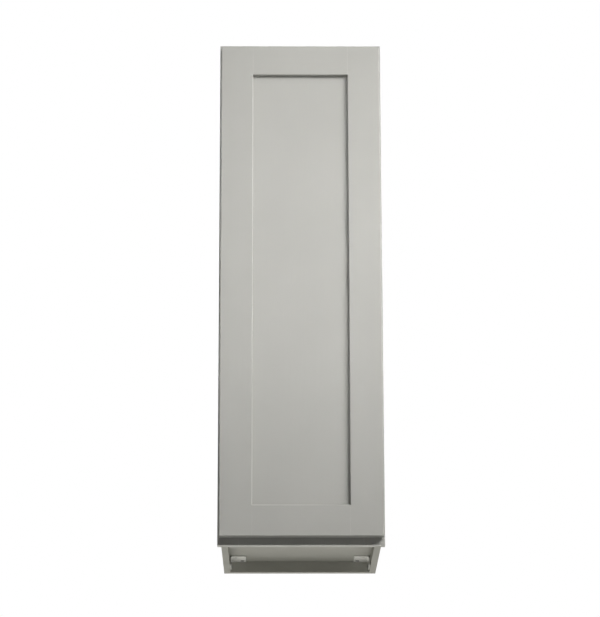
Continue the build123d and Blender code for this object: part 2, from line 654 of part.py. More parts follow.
def arm_screws():
    """Short machine screws that clamp the arms to their bases."""
    web = -OPEN_HALF + BASE_THICK + ARM_WEB_THICK
    y = FRONT + ARM_SCREW_BACK
    screws = []
    for height in HINGE_HEIGHTS:
        shank = rod_x(y, height, -OPEN_HALF + FIT, web, SCREW_RADIUS)
        screws.append(shank + rod_x(y, height, web, web + ARM_HEAD_HEIGHT, CHEEK_LOW - FIT))
    return screws


save("hinge_cup_screws", *cup_screws())
save("hinge_base_screws", *base_screws())
save("hinge_arm_screws", *arm_screws())
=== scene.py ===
import math
import random

import bmesh
import bpy
from mathutils import Matrix, Vector


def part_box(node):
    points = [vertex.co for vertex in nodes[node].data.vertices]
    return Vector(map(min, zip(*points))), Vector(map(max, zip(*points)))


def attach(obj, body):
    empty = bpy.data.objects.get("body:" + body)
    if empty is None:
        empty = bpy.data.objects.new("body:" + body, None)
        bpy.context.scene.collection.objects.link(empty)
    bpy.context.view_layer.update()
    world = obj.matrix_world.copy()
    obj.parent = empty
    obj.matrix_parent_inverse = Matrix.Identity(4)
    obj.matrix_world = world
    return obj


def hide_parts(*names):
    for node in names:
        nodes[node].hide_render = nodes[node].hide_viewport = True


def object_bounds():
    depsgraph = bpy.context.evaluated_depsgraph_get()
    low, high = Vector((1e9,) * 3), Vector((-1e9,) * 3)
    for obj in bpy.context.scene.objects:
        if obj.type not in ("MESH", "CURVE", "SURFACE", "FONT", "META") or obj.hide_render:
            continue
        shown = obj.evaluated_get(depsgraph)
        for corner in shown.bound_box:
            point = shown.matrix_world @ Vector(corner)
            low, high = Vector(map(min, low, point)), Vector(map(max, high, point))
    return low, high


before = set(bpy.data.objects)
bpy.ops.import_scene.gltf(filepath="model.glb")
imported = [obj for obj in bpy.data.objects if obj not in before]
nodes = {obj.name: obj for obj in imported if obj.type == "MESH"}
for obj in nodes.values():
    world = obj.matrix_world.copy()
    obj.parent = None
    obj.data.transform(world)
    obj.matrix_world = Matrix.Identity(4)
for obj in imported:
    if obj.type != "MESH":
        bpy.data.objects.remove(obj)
cad_low, cad_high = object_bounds()

# The camera: a long lens, well in front of the cabinet and below it, tilted up at the door. It stands
# slightly left of the middle, which shows a little more of the right side panel's inner face.
EYE = Vector((-0.0437, -5.0135, -0.8887))
TURN_RIGHT, TILT_UP, ROLL = 0.009, 0.2686, -0.002
LENS_MM, SENSOR_MM = 153.3, 36.0
FARTHEST_SEEN = 100.0

level_ahead = Vector((math.sin(TURN_RIGHT), math.cos(TURN_RIGHT), 0.0))
ahead = level_ahead * math.cos(TILT_UP) + Vector((0.0, 0.0, math.sin(TILT_UP)))
rightward = Vector((math.cos(TURN_RIGHT), -math.sin(TURN_RIGHT), 0.0))
upward = rightward.cross(ahead)
rolled_right = rightward * math.cos(ROLL) + upward * math.sin(ROLL)
rolled_up = upward * math.cos(ROLL) - rightward * math.sin(ROLL)
camera_data = bpy.data.cameras.new("camera")
camera_data.lens = LENS_MM
camera_data.sensor_width = SENSOR_MM
camera_data.clip_end = FARTHEST_SEEN
camera = bpy.data.objects.new("camera", camera_data)
camera_turn = Matrix((rolled_right, rolled_up, -ahead)).transposed().to_4x4()
camera.matrix_world = Matrix.Translation(EYE) @ camera_turn
bpy.context.scene.collection.objects.link(camera)
bpy.context.scene.camera = camera
bpy.context.scene.view_settings.view_transform = "Standard"


# The door: two stiles, two rails and a flat panel that is free in their grooves, sprayed with a satin
# warm grey lacquer. Under it the wood's grain runs along each piece, and the edges are rubbed lighter.
GREY = (0.470, 0.468, 0.443, 1.0)
GREY_DEEP = (0.440, 0.438, 0.413, 1.0)
GREY_WORN = (0.600, 0.596, 0.565, 1.0)
WORN_REACH = 0.0011          # how far wear reaches in from an edge
WORN_SHARE = 0.8             # how much of the worn tint shows where an edge is fully worn
SATIN = 0.34
DOOR_EASE = 0.00025
EVEN = (1.0, 1.0, 1.0)       # a pattern that isn't stretched along any axis


def new_material(name):
    """A node material with its surface shader, and a short way to add and link nodes."""
    material = bpy.data.materials.new(name)
    material.use_nodes = True
    tree = material.node_tree
    shader = tree.nodes["Principled BSDF"]

    def add(kind, **settings):
        node = tree.nodes.new(kind)
        for key, value in settings.items():
            if key.startswith("in_"):
                node.inputs[key[3:].replace("_", " ")].default_value = value
            else:
                setattr(node, key, value)
        return node

    return material, shader, add, tree.links.new


def stretched_noise(add, link, scale, size, detail=4.0, roughness=0.55):
    """Noise on the piece's own coordinates, stretched by a scale for each axis."""
    place = add("ShaderNodeTexCoord")
    stretch = add("ShaderNodeMapping")
    stretch.inputs["Scale"].default_value = scale
    noise = add("ShaderNodeTexNoise", in_Scale=size, in_Detail=detail, in_Roughness=roughness)
    link(place.outputs["Object"], stretch.inputs["Vector"])
    link(stretch.outputs["Vector"], noise.inputs["Vector"])
    return noise.outputs["Fac"]


def ranged(add, link, value, low, high, from_low=0.3, from_high=0.7):
    """A value spread over a new range."""
    spread = add("ShaderNodeMapRange")
    spread.inputs["From Min"].default_value = from_low
    spread.inputs["From Max"].default_value = from_high
    spread.inputs["To Min"].default_value = low
    spread.inputs["To Max"].default_value = high
    link(value, spread.inputs["Value"])
    return spread.outputs["Result"]


def mixed(add, link, factor, first, second):
    """One colour turned into another by a factor."""
    mix = add("ShaderNodeMix", data_type="RGBA")
    for socket, value in ((mix.inputs[6], first), (mix.inputs[7], second)):
        if isinstance(value, tuple):
            socket.default_value = value
        else:
            link(value, socket)
    link(factor, mix.inputs[0])
    return mix.outputs[2]


def edge_mask(add, link, radius, breakup, bare, full):
    """One along a piece's edges, broken up by noise between two levels, and nought on its faces."""
    rounded = add("ShaderNodeBevel", samples=4, in_Radius=radius)
    flat = add("ShaderNodeNewGeometry")
    dot = add("ShaderNodeVectorMath", operation="DOT_PRODUCT")
    link(rounded.outputs["Normal"], dot.inputs[0])
    link(flat.outputs["Normal"], dot.inputs[1])
    turned = ranged(add, link, dot.outputs["Value"], 1.0, 0.0, 0.86, 0.995)
    worn = add("ShaderNodeMath", operation="MULTIPLY")
    link(turned, worn.inputs[0])
    link(ranged(add, link, breakup, 0.0, 1.0, bare, full), worn.inputs[1])
    return worn.outputs["Value"]


def stacked_bumps(add, link, shader, layers):
    """Several reliefs one on another: pairs of height and depth in metres."""
    before = None
    for height, depth in layers:
        bump = add("ShaderNodeBump", in_Strength=1.0, in_Distance=depth)
        link(height, bump.inputs["Height"])
        if before:
            link(before, bump.inputs["Normal"])
        before = bump.outputs["Normal"]
    link(before, shader.inputs["Normal"])


def grain_scale(axis):
    """Grain runs twenty times slower along its own axis."""
    return tuple(0.05 if letter == axis else 1.0 for letter in "xyz")


def lacquer(name, axis):
    """Satin grey lacquer over wood whose grain runs along an axis."""
    material, shader, add, link = new_material(name)
    cloud = stretched_noise(add, link, EVEN, 5.0, 3.0)
    grain = stretched_noise(add, link, grain_scale(axis), 260.0, 5.0, 0.6)
    peel = stretched_noise(add, link, EVEN, 620.0, 2.0)
    smudge = stretched_noise(add, link, EVEN, 24.0, 4.0)
    tint = mixed(add, link, ranged(add, link, cloud, 0.0, 1.0), GREY_DEEP, GREY)
    toned = mixed(add, link, ranged(add, link, grain, 0.0, 0.22), tint, GREY_DEEP)
    worn = edge_mask(add, link, WORN_REACH, smudge, 0.30, 0.55)
    faint = add("ShaderNodeMath", operation="MULTIPLY", use_clamp=True)
    link(worn, faint.inputs[0])
    faint.inputs[1].default_value = WORN_SHARE
    link(mixed(add, link, faint.outputs["Value"], toned, GREY_WORN), shader.inputs["Base Color"])
    link(ranged(add, link, smudge, SATIN - 0.05, SATIN + 0.06), shader.inputs["Roughness"])
    stacked_bumps(add, link, shader, ((grain, 0.00005), (peel, 0.00002)))
    shader.inputs["Specular IOR Level"].default_value = 0.42
    shader.inputs["Coat Weight"].default_value = 0.14
    shader.inputs["Coat Roughness"].default_value = 0.20
    return material


def dress(node, material):
    """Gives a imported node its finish."""
    materials = nodes[node].data.materials
    materials.clear()
    materials.append(material)


def ease(node, width, steps=2):
    """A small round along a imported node's sharp edges."""
    modifier = nodes[node].modifiers.new("eased edges", "BEVEL")
    modifier.width = width
    modifier.segments = steps
    modifier.limit_method = "ANGLE"
    modifier.angle_limit = math.radians(35.0)


upright_grey = lacquer("grey lacquer on upright grain", "z")
level_grey = lacquer("grey lacquer on level grain", "x")
for node in ("door_stile_left", "door_stile_right", "door_panel"):
    dress(node, upright_grey)
for node in ("door_rail_bottom", "door_rail_top"):
    dress(node, level_grey)
for node in ("door_stile_left", "door_stile_right", "door_rail_bottom", "door_rail_top"):
    ease(node, DOOR_EASE)


# The face frame: solid stiles and rails behind the door, sprayed with the same lacquer. Only a few
# millimetres show round the door, and a strip under it.
FRAME_EASE = 0.0003
for node in ("frame_stile_left", "frame_stile_right"):
    dress(node, upright_grey)
    ease(node, FRAME_EASE)
for node in ("frame_rail_bottom", "frame_rail_top"):
    dress(node, level_grey)
    ease(node, FRAME_EASE)


# The case: plywood panels with a grey factory finish on their broad faces, inside and out. The edges
# against the wall and on top stay raw, and show the plies.
CASE_GREY = (0.455, 0.452, 0.405, 1.0)
CASE_DEEP = (0.425, 0.422, 0.376, 1.0)
BIRCH = (0.640, 0.470, 0.300, 1.0)
BIRCH_RING = (0.560, 0.395, 0.240, 1.0)
BIRCH_DARK = (0.430, 0.280, 0.160, 1.0)
PLY = 0.0017                 # one ply's thickness
RAW_ROUGHER = 0.25           # added to the roughness where the board is raw
BOARD_EASE, HANGING_EASE = 0.0003, 0.0004


def birch(add, link, axis):
    """Rotary-cut birch: broad cathedral figure along an axis, with short dark flecks."""
    place = add("ShaderNodeTexCoord")
    stretch = add("ShaderNodeMapping")
    stretch.inputs["Scale"].default_value = tuple(0.16 if letter == axis else 1.0 for letter in "xyz")
    wave = add("ShaderNodeTexWave", wave_type="RINGS", in_Scale=9.0, in_Distortion=14.0, in_Detail=3.0)
    wave.inputs["Detail Scale"].default_value = 1.6
    link(place.outputs["Object"], stretch.inputs["Vector"])
    link(stretch.outputs["Vector"], wave.inputs["Vector"])
    fleck = stretched_noise(add, link, grain_scale(axis), 420.0, 3.0, 0.7)
    figure = ranged(add, link, wave.outputs["Fac"], 0.0, 0.55, 0.2, 0.9)
    body = mixed(add, link, figure, BIRCH, BIRCH_RING)
    return mixed(add, link, ranged(add, link, fleck, 0.0, 0.45, 0.52, 0.72), body, BIRCH_DARK)


def plies(add, link, across):
    """End view of plywood: light and dark plies of one thickness by turns, counted across the board."""
    place = add("ShaderNodeTexCoord")
    split = add("ShaderNodeSeparateXYZ")
    link(place.outputs["Object"], split.inputs["Vector"])
    count = add("ShaderNodeMath", operation="DIVIDE")
    link(split.outputs[across.upper()], count.inputs[0])
    count.inputs[1].default_value = 2.0 * PLY
    half = add("ShaderNodeMath", operation="PINGPONG")
    link(count.outputs["Value"], half.inputs[0])
    half.inputs[1].default_value = 0.5
    light = ranged(add, link, half.outputs["Value"], 0.0, 1.0, 0.22, 0.28)
    return mixed(add, link, light, BIRCH_DARK, BIRCH)


def facing(add, link, axis, one_way=False):
    """One where the surface faces along an axis, either way or only towards its far end."""
    flat = add("ShaderNodeNewGeometry")
    split = add("ShaderNodeSeparateXYZ")
    link(flat.outputs["True Normal"], split.inputs["Vector"])
    value = split.outputs[axis.upper()]
    if not one_way:
        size = add("ShaderNodeMath", operation="ABSOLUTE")
        link(value, size.inputs[0])
        value = size.outputs["Value"]
    sure = add("ShaderNodeMath", operation="GREATER_THAN")
    sure.inputs[1].default_value = 0.6
    link(value, sure.inputs[0])
    return sure.outputs["Value"]


def case_board(name, grain, across, raw):
    """Grey-finished plywood, raw on the faces listed by axis, and by whether only the far one is raw."""
    material, shader, add, link = new_material(name)
    cloud = stretched_noise(add, link, EVEN, 6.0, 3.0)
    lines = stretched_noise(add, link, grain_scale(grain), 300.0, 5.0, 0.6)
    smudge = stretched_noise(add, link, EVEN, 30.0, 4.0)
    tint = mixed(add, link, ranged(add, link, cloud, 0.0, 1.0), CASE_DEEP, CASE_GREY)
    finish = mixed(add, link, ranged(add, link, lines, 0.0, 0.25), tint, CASE_DEEP)
    wood = birch(add, link, grain)
    edge = plies(add, link, across)
    bare = mixed(add, link, facing(add, link, across), edge, wood)
    show = None
    for axis, one_way in raw:
        side = facing(add, link, axis, one_way)
        if show is None:
            show = side
        else:
            most = add("ShaderNodeMath", operation="MAXIMUM")
            link(show, most.inputs[0])
            link(side, most.inputs[1])
            show = most.outputs["Value"]
    link(mixed(add, link, show, finish, bare), shader.inputs["Base Color"])
    rough = ranged(add, link, smudge, 0.44, 0.54)
    rough_raw = add("ShaderNodeMath", operation="MULTIPLY_ADD")
    link(show, rough_raw.inputs[0])
    rough_raw.inputs[1].default_value = RAW_ROUGHER
    link(rough, rough_raw.inputs[2])
    link(rough_raw.outputs["Value"], shader.inputs["Roughness"])
    stacked_bumps(add, link, shader, ((lines, 0.00004), (smudge, 0.00002)))
    shader.inputs["Specular IOR Level"].default_value = 0.40
    return material


side_board = case_board("grey plywood side", "z", "x", (("y", True), ("z", True)))
for node in ("side_panel_left", "side_panel_right"):
    dress(node, side_board)
    ease(node, BOARD_EASE, 1)
top_faces = (("z", True), ("x", False), ("y", False))
top_board = case_board("grey plywood deck with a raw top", "x", "z", top_faces)
bottom_board = case_board("grey plywood deck", "x", "z", (("x", False), ("y", False)))
dress("top_panel", top_board)
dress("bottom_panel", bottom_board)
wall_faces = (("y", True), ("x", False), ("z", True))
back_board = case_board("back panel, grey inside and raw behind", "z", "y", wall_faces)
dress("back_panel", back_board)
rail_board = case_board("raw hanging rail", "x", "y", wall_faces)
for node in ("hanging_rail_lower", "hanging_rail_upper"):
    dress(node, rail_board)
    ease(node, HANGING_EASE, 1)


# The shelves: the same grey-finished plywood, with a thin grey band glued along the front edge. They
# lie loose on their pins, and their ends and rear edges are raw.
shelf_board = case_board("grey shelf board", "x", "z", (("x", False), ("y", True)))
for node in ("shelf_lower", "shelf_upper"):
    dress(node, shelf_board)
    ease(node, BOARD_EASE, 1)


# The shelf pins: nickel-plated steel spoon pins, each a peg with a collar and a flat ledge. There are
# four to a shelf, pushed into the rows of blind holes in the side panels.
NICKEL = (0.74, 0.72, 0.68, 1.0)
PIN_EASE = 0.00025
LINE_DEPTH, SCRATCH_DEPTH = 0.000006, 0.000005


def metal(name, colour, rough, brushed, patchy, mottle=90.0):
    """Plated steel: plating with duller patches, fine lines along an axis and small scratches."""
    material, shader, add, link = new_material(name)
    lines = stretched_noise(add, link, grain_scale(brushed), 2600.0, 2.0)
    cloud = stretched_noise(add, link, EVEN, mottle, 4.0, 0.65)
    fine = stretched_noise(add, link, EVEN, 1500.0, 3.0)
    dull = tuple(channel * (1.0 - patchy) for channel in colour[:3]) + (1.0,)
    link(mixed(add, link, ranged(add, link, cloud, 0.0, 1.0), dull, colour), shader.inputs["Base Color"])
    link(ranged(add, link, cloud, rough - 0.07, rough + 0.09), shader.inputs["Roughness"])
    stacked_bumps(add, link, shader, ((lines, LINE_DEPTH), (fine, SCRATCH_DEPTH)))
    shader.inputs["Metallic"].default_value = 1.0
    return material


nickel = metal("nickel plate", NICKEL, 0.24, "z", 0.12)
for node in ("shelf_pins_lower", "shelf_pins_upper"):
    dress(node, nickel)
    ease(node, PIN_EASE)


# The door bumpers: small clear domes of soft plastic, stuck to the door's back at its free side so
# that it closes without a knock.
CLEAR_DULL, CLEAR_BRIGHT = (0.80, 0.80, 0.77, 1.0), (0.90, 0.90, 0.88, 1.0)
DOME_FOOT, DOME_RIM = 0.98, 0.12     # the foot's radius, and the rim's height, as shares of the dome's
DOME_STEPS = 8
CREASE = math.radians(32.0)          # a new piece's edges that turn more than this stay sharp


def new_piece(name, shape, material, body):
    """A mesh piece with its material, which rides on a body."""
    mesh = bpy.data.meshes.new(name)
    bmesh.ops.recalc_face_normals(shape, faces=shape.faces)
    for face in shape.faces:
        face.smooth = True
    for edge in shape.edges:
        if len(edge.link_faces) == 2 and edge.calc_face_angle(0.0) > CREASE:
            edge.smooth = False
    shape.to_mesh(mesh)
    shape.free()
    mesh.materials.append(material)
    piece = bpy.data.objects.new(name, mesh)
    bpy.context.scene.collection.objects.link(piece)
    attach(piece, body)
    return piece


def standing(place, axis):
    """A frame at a place whose Z looks along an axis."""
    return Matrix.Translation(place) @ Vector(axis).to_track_quat("Z", "Y").to_matrix().to_4x4()


def ring_of(shape, frame_at, radius, height, steps):
    """The corners of a ring round a frame's Z, added to a shape."""
    ring = []
    for step in range(steps):
        angle = 2.0 * math.pi * step / steps
        corner = Vector((radius * math.cos(angle), radius * math.sin(angle), height))
        ring.append(shape.verts.new(frame_at @ corner))
    return ring


def turned_profile(shape, profile, frame_at, steps=40):
    """A solid of revolution from pairs of radius and height, closed at both ends of the profile."""
    rings = []
    for radius, height in profile:
        if radius == 0.0:
            rings.append([shape.verts.new(frame_at @ Vector((0.0, 0.0, height)))])
        else:
            rings.append(ring_of(shape, frame_at, radius, height, steps))
    for lower, upper in zip(rings, rings[1:]):
        for step in range(steps):
            following = (step + 1) % steps
            corners = []
            for vert in (lower[step % len(lower)], lower[following % len(lower)],
                         upper[following % len(upper)], upper[step % len(upper)]):
                if vert not in corners:
                    corners.append(vert)
            shape.faces.new(corners)


def node_solids(node):
    """The boxes of a node's separate solids, lowest and highest corner, in a fixed order."""
    piece = nodes[node]
    source = bmesh.new()
    source.from_mesh(piece.data)
    bmesh.ops.remove_doubles(source, verts=source.verts, dist=1e-6)
    left = set(source.verts)
    boxes = []
    while left:
        seeds = [left.pop()]
        found = []
        while seeds:
            vert = seeds.pop()
            found.append(piece.matrix_world @ vert.co)
            for edge in vert.link_edges:
                other = edge.other_vert(vert)
                if other in left:
                    left.discard(other)
                    seeds.append(other)
        low_corner = Vector(min(point[axis] for point in found) for axis in range(3))
        high_corner = Vector(max(point[axis] for point in found) for axis in range(3))
        boxes.append((low_corner, high_corner))
    source.free()
    return sorted(boxes, key=lambda box: [round(value, 5) for value in (*box[0], *box[1])])


def bumper_plastic():
    """Clear soft plastic, slightly cloudy and gone dull in places."""
    material, shader, add, link = new_material("clear soft bumper")
    cloud = stretched_noise(add, link, EVEN, 300.0, 3.0)
    tone = mixed(add, link, ranged(add, link, cloud, 0.0, 1.0), CLEAR_DULL, CLEAR_BRIGHT)
    link(tone, shader.inputs["Base Color"])
    link(ranged(add, link, cloud, 0.16, 0.30), shader.inputs["Roughness"])
    stacked_bumps(add, link, shader, ((cloud, 0.00003),))
    shader.inputs["Transmission Weight"].default_value = 0.55
    shader.inputs["IOR"].default_value = 1.45
    return material


bumpers = bmesh.new()
for low_corner, high_corner in node_solids("door_bumpers"):
    radius = (high_corner.x - low_corner.x) / 2
    height = high_corner.y - low_corner.y
    place = Vector(((low_corner.x + high_corner.x) / 2, low_corner.y, (low_corner.z + high_corner.z) / 2))
    profile = [(0.0, 0.0), (radius * DOME_FOOT, 0.0), (radius, height * DOME_RIM)]
    for step in range(1, DOME_STEPS + 1):
        turn = math.radians(90.0 * step / DOME_STEPS)
        up = DOME_RIM + (1.0 - DOME_RIM) * math.sin(turn)
        profile.append((radius * math.cos(turn), height * up))
    profile[-1] = (0.0, height)
    turned_profile(bumpers, profile, standing(place, (0.0, 1.0, 0.0)))
domes = new_piece("bumper_domes", bumpers, bumper_plastic(), "door")
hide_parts("door_bumpers")


# The corner brackets: bent zinc-plated strip, one leg under the bottom panel and one down the side
# panel. The plating is bright but mottled, with rubbed patches; a dark line of painted shadow runs along the
# plates' edges.
ZINC_DULL, ZINC_BRIGHT = (0.88, 0.88, 0.85, 1.0), (0.97, 0.97, 0.94, 1.0)
ZINC_RUBBED = (0.70, 0.70, 0.67, 1.0)
# A near-black painted shadow along the plates' edges, and how far in from an edge it reaches.
PAINTED_EDGE_SHADOW = (0.10, 0.10, 0.095, 1.0)
PAINTED_SHADOW_REACH = 0.0008
PLATE_EASE = 0.00015


def zinc_plate():
    """Zinc plate on steel strip, with a painted shadow darkening its edges."""
    material, shader, add, link = new_material("zinc plate")
    spangle = stretched_noise(add, link, EVEN, 160.0, 4.0, 0.65)
    scuff = stretched_noise(add, link, grain_scale("x"), 900.0, 3.0)
    fine = stretched_noise(add, link, EVEN, 1500.0, 3.0)
    bright = mixed(add, link, ranged(add, link, spangle, 0.0, 1.0), ZINC_DULL, ZINC_BRIGHT)
    rubbed = mixed(add, link, ranged(add, link, scuff, 0.0, 0.35, 0.55, 0.7), bright, ZINC_RUBBED)
    # A dark line of painted shadow along the plate's edges, standing in for shade at its rim.
    painted_edge_shadow = edge_mask(add, link, PAINTED_SHADOW_REACH, spangle, 0.05, 0.25)
    link(mixed(add, link, painted_edge_shadow, rubbed, PAINTED_EDGE_SHADOW), shader.inputs["Base Color"])
    link(ranged(add, link, spangle, 0.50, 0.66), shader.inputs["Roughness"])
    stacked_bumps(add, link, shader, ((scuff, LINE_DEPTH), (fine, LINE_DEPTH)))
    shader.inputs["Metallic"].default_value = 0.9
    return material


zinc = zinc_plate()
for word in ("left", "right"):
    dress(f"corner_bracket_{word}", zinc)
    ease(f"corner_bracket_{word}", PLATE_EASE)


# The bracket screws: zinc-plated steel with a pan head, a thin flange and a cross recess, driven until
# the heads bear on the plates. Each stands turned as the driver left it.
CROSS_HALF, CROSS_ARM = 0.155, 0.56      # the recess's half width and reach, as shares of the head's radius
CROSS_TAPER = 0.62                       # its foot, as a share of its mouth
CROSS_DEPTH = 0.62                       # its depth, as a share of the head's height
MOUTH_HEIGHT = 0.97                      # the recess's mouth, as a share of the head's height
SEAT_INNER, SEAT_OUTER = 0.55, 0.985     # the ring that bears on the plate, as shares of the radius
FLANGE_EDGE, FLANGE_TOP = 0.10, 0.22     # heights of the flange's edge, as shares of the head's height
CROWN_RISE = 0.70                        # the crown's height above the flange, as a share of it
CROWN_STEPS, HEAD_STEPS = 8, 48
PAN_CROWN = 0.55                         # the crown's rim, as a share of the head's radius
SCREW_ZINC = (0.52, 0.52, 0.50, 1.0)


def cross_recess(shape, frame_at, radius, depth, mouth):
    """A cross-shaped pocket with sloping walls that fills a round mouth in a screw head's crown."""
    half = radius * CROSS_HALF
    arm = radius * CROSS_ARM
    outline = [(half, half), (arm, half), (arm, -half), (half, -half), (half, -arm), (-half, -arm),
               (-half, -half), (-arm, -half), (-arm, half), (-half, half), (-half, arm), (half, arm)]
    top = [shape.verts.new(frame_at @ Vector((x, y, mouth))) for x, y in outline]
    foot = []
    for x, y in outline:
        foot.append(shape.verts.new(frame_at @ Vector((x * CROSS_TAPER, y * CROSS_TAPER, mouth - depth))))
    for step in range(len(outline)):
        following = (step + 1) % len(outline)
        shape.faces.new((top[step], top[following], foot[following], foot[step]))
    shape.faces.new(foot)
    return top, outline


def screw_head(shape, place, axis, radius, height, crown, turn):
    """A pan head with a cross recess, standing on a place and looking along an axis."""
    frame_at = standing(place, axis) @ Matrix.Rotation(turn, 4, "Z")
    steps = HEAD_STEPS
    profile = [(radius * SEAT_INNER, 0.0), (radius * SEAT_OUTER, 0.0)]
    profile += [(radius, height * FLANGE_EDGE), (radius, height * FLANGE_TOP)]
    for step in range(1, CROWN_STEPS + 1):
        bend = math.radians(90.0 * step / CROWN_STEPS)
        across = radius * (crown + (1.0 - crown) * math.cos(bend))
        profile.append((across, height * (FLANGE_TOP + CROWN_RISE * math.sin(bend))))
    rings = [ring_of(shape, frame_at, across, up, steps) for across, up in profile]
    for lower, upper in zip(rings, rings[1:]):
        for step in range(steps):
            following = (step + 1) % steps
            shape.faces.new((lower[step], lower[following], upper[following], upper[step]))
    shape.faces.new(list(reversed(rings[0])))
    top, outline = cross_recess(shape, frame_at, radius, height * CROSS_DEPTH, height * MOUTH_HEIGHT)
    rim = rings[-1]
    count = len(top)
    nearest = []
    for x, y in outline:
        angle = math.atan2(y, x) % (2.0 * math.pi)
        nearest.append(round(angle / (2.0 * math.pi) * steps) % steps)
    for step in range(count):
        following = (step + 1) % count
        start, stop = nearest[step], nearest[following]
        walk = [rim[start]]
        while start != stop:
            start = (start - 1) % steps
            walk.append(rim[start])
        shape.faces.new([top[step]] + walk + [top[following]])


screw_zinc = metal("zinc on screw heads", SCREW_ZINC, 0.34, "z", 0.35, 700.0)
random.seed(11)
heads = bmesh.new()
for low_corner, high_corner in node_solids("bracket_screws"):
    size = high_corner - low_corner
    place = (low_corner + high_corner) / 2
    inward = 1.0 if place.x < 0.0 else -1.0
    if size.z < size.x:
        place.z = high_corner.z
        axis, height, radius = (0.0, 0.0, -1.0), size.z, size.x / 2
    else:
        place.x = low_corner.x if inward > 0.0 else high_corner.x
        axis, height, radius = (inward, 0.0, 0.0), size.x, size.z / 2
    screw_head(heads, place, axis, radius, height, PAN_CROWN, random.uniform(0.0, math.pi))
screws = new_piece("bracket_screw_heads", heads, screw_zinc, "cabinet")
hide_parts("bracket_screws")


# The hinges: a nickel-plated die-cast cup let into the door, two links, a pressed arm and a base plate
# on the stile's inner edge. The pins that they turn on are bright steel, and are not plated.
BRIGHT_STEEL = (0.56, 0.56, 0.57, 1.0)
HINGE_EASE = 0.00012

bright_steel = metal("bright steel", BRIGHT_STEEL, 0.28, "z", 0.3)
for word in ("lower", "upper"):
    for part in ("hinge_cup", "hinge_arm", "hinge_base", "hinge_inner_link", "hinge_outer_link"):
        dress(f"{part}_{word}", nickel)
        ease(f"{part}_{word}", HINGE_EASE)
    for part in ("hinge_cup_pins", "hinge_arm_pins"):
        dress(f"{part}_{word}", bright_steel)


# The closing springs: round wire wound into a coil on the arm's outer pin, with one straight leg back
# to the arm's web. They stay with the arm.
SPRING_WIRE = (0.40, 0.40, 0.42, 1.0)
COIL_RADIUS, COIL_WIRE, COIL_TURNS = 0.0020, 0.00036, 3.5
COIL_INSET = 0.00042         # the wire's middle from the sides of the spring's space
COIL_STEPS = 24              # points to a turn


def wire_coil(shape, points, radius, steps=12):
    """Round wire along a list of points, with closed ends."""
    rings = []
    side = None
    for index, point in enumerate(points):
        before = points[max(index - 1, 0)]
        after = points[min(index + 1, len(points) - 1)]
        along = (after - before).normalized()
        if side is None:
            side = along.orthogonal().normalized()
        side = (side - along * side.dot(along)).normalized()
        other = along.cross(side)
        ring = []
        for step in range(steps):
            angle = 2.0 * math.pi * step / steps
            ring.append(shape.verts.new(point + radius * (side * math.cos(angle) + other * math.sin(angle))))
        rings.append(ring)
    for lower, upper in zip(rings, rings[1:]):
        for step in range(steps):
            following = (step + 1) % steps
            shape.faces.new((lower[step], lower[following], upper[following], upper[step]))
    shape.faces.new(list(reversed(rings[0])))
    shape.faces.new(rings[-1])


spring_wire = metal("spring wire", SPRING_WIRE, 0.32, "z", 0.3, 400.0)
for word in ("lower", "upper"):
    low_corner, high_corner = (Vector(corner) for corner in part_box(f"hinge_spring_{word}"))
    foot = low_corner.z + COIL_INSET
    middle = Vector((high_corner.x - COIL_RADIUS - COIL_INSET, low_corner.y + COIL_RADIUS + COIL_INSET, foot))
    points = [Vector((low_corner.x, middle.y + COIL_RADIUS, foot))]
    count = int(COIL_TURNS * COIL_STEPS)
    rise = high_corner.z - low_corner.z - 2.0 * COIL_INSET
    for step in range(count + 1):
        angle = math.pi / 2 - 2.0 * math.pi * step / COIL_STEPS
        around = Vector((COIL_RADIUS * math.cos(angle), COIL_RADIUS * math.sin(angle), rise * step / count))
        points.append(middle + around)
    coil = bmesh.new()
    wire_coil(coil, points, COIL_WIRE)
    spring = new_piece(f"closing_spring_{word}", coil, spring_wire, "cabinet")
    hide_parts(f"hinge_spring_{word}")


# The hinge screws: nickel-plated, with low flat heads and cross recesses. They hold the cups to the
# door, the bases to the stile, and the arms to the bases; the cup's are the flattest.
FLAT_CROWN = 0.8
CUP_HEAD, BASE_HEAD, ARM_HEAD = 0.0008, 0.0022, 0.0011

for part, body, letter, height in (("cup", "door", "y", CUP_HEAD), ("base", "cabinet", "x", BASE_HEAD),
                                   ("arm", "cabinet", "x", ARM_HEAD)):
    axis = Vector([1.0 if each == letter else 0.0 for each in "xyz"])
    heads = bmesh.new()
    for low_corner, high_corner in node_solids(f"hinge_{part}_screws"):
        place = (low_corner + high_corner) / 2
        place += axis * ((high_corner - place).dot(axis) - height)
        radius = (high_corner.z - low_corner.z) / 2
        screw_head(heads, place, axis, radius, height, FLAT_CROWN, random.uniform(0.0, math.pi))
    screws = new_piece(f"hinge_{part}_screw_heads", heads, nickel, body)
    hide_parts(f"hinge_{part}_screws")


# The studio: a pale matt floor well under the hung cabinet, a white surround, one large soft lamp high
# on the right, weaker ones on the door, and light thrown up from below and behind.
FLOOR_DROP, FLOOR_RADIUS = 1.37, 14.0
FLOOR_DULL, FLOOR_PALE = (0.80, 0.80, 0.79, 1.0), (0.84, 0.84, 0.83, 1.0)
FLOOR_GLOW = (0.97, 0.97, 0.96, 1.0)
FLOOR_LIFT = 0.62            # light added where the floor is seen directly
SURROUND = 0.004             # light that the surround casts; it is seen as plain white
PLAIN, WARM = (1.0, 0.995, 0.98), (1.0, 0.985, 0.90)


